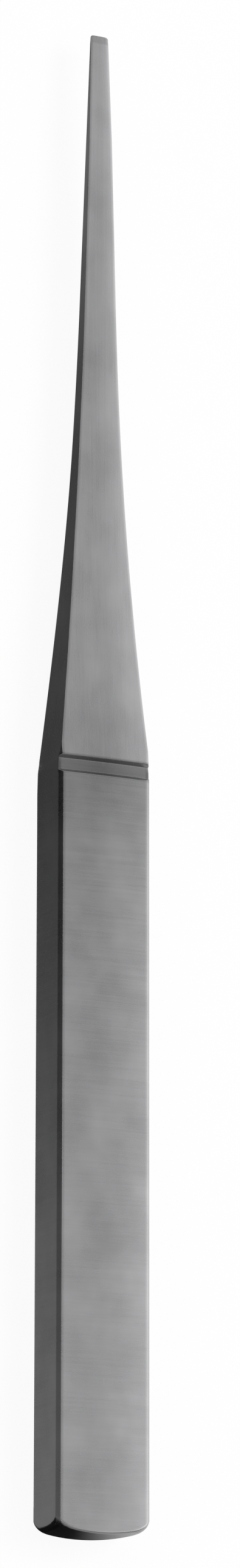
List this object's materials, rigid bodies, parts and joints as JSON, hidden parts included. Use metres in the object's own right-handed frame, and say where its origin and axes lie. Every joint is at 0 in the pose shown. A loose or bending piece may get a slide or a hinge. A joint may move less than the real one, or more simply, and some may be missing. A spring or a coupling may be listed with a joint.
{
  "type": "osteotome",
  "caption": "Small straight osteotome with a flat bar handle, domed struck end, cross groove and a slim blade tapering to a narrow edge.",
  "frame": {"origin": "middle of the tool's length and width, on the surface that the back of the handle rests on", "axes": "+Y along the tool to the cutting edge, +Z out of the front face, +X to the right seen from the front"},
  "size_m": [0.0082, 0.125, 0.0049],
  "materials": {
    "satin_steel": "satin ground stainless steel"
  },
  "bodies": {
    "root": {"osteotome": "satin_steel"}
  },
  "joints": []
}
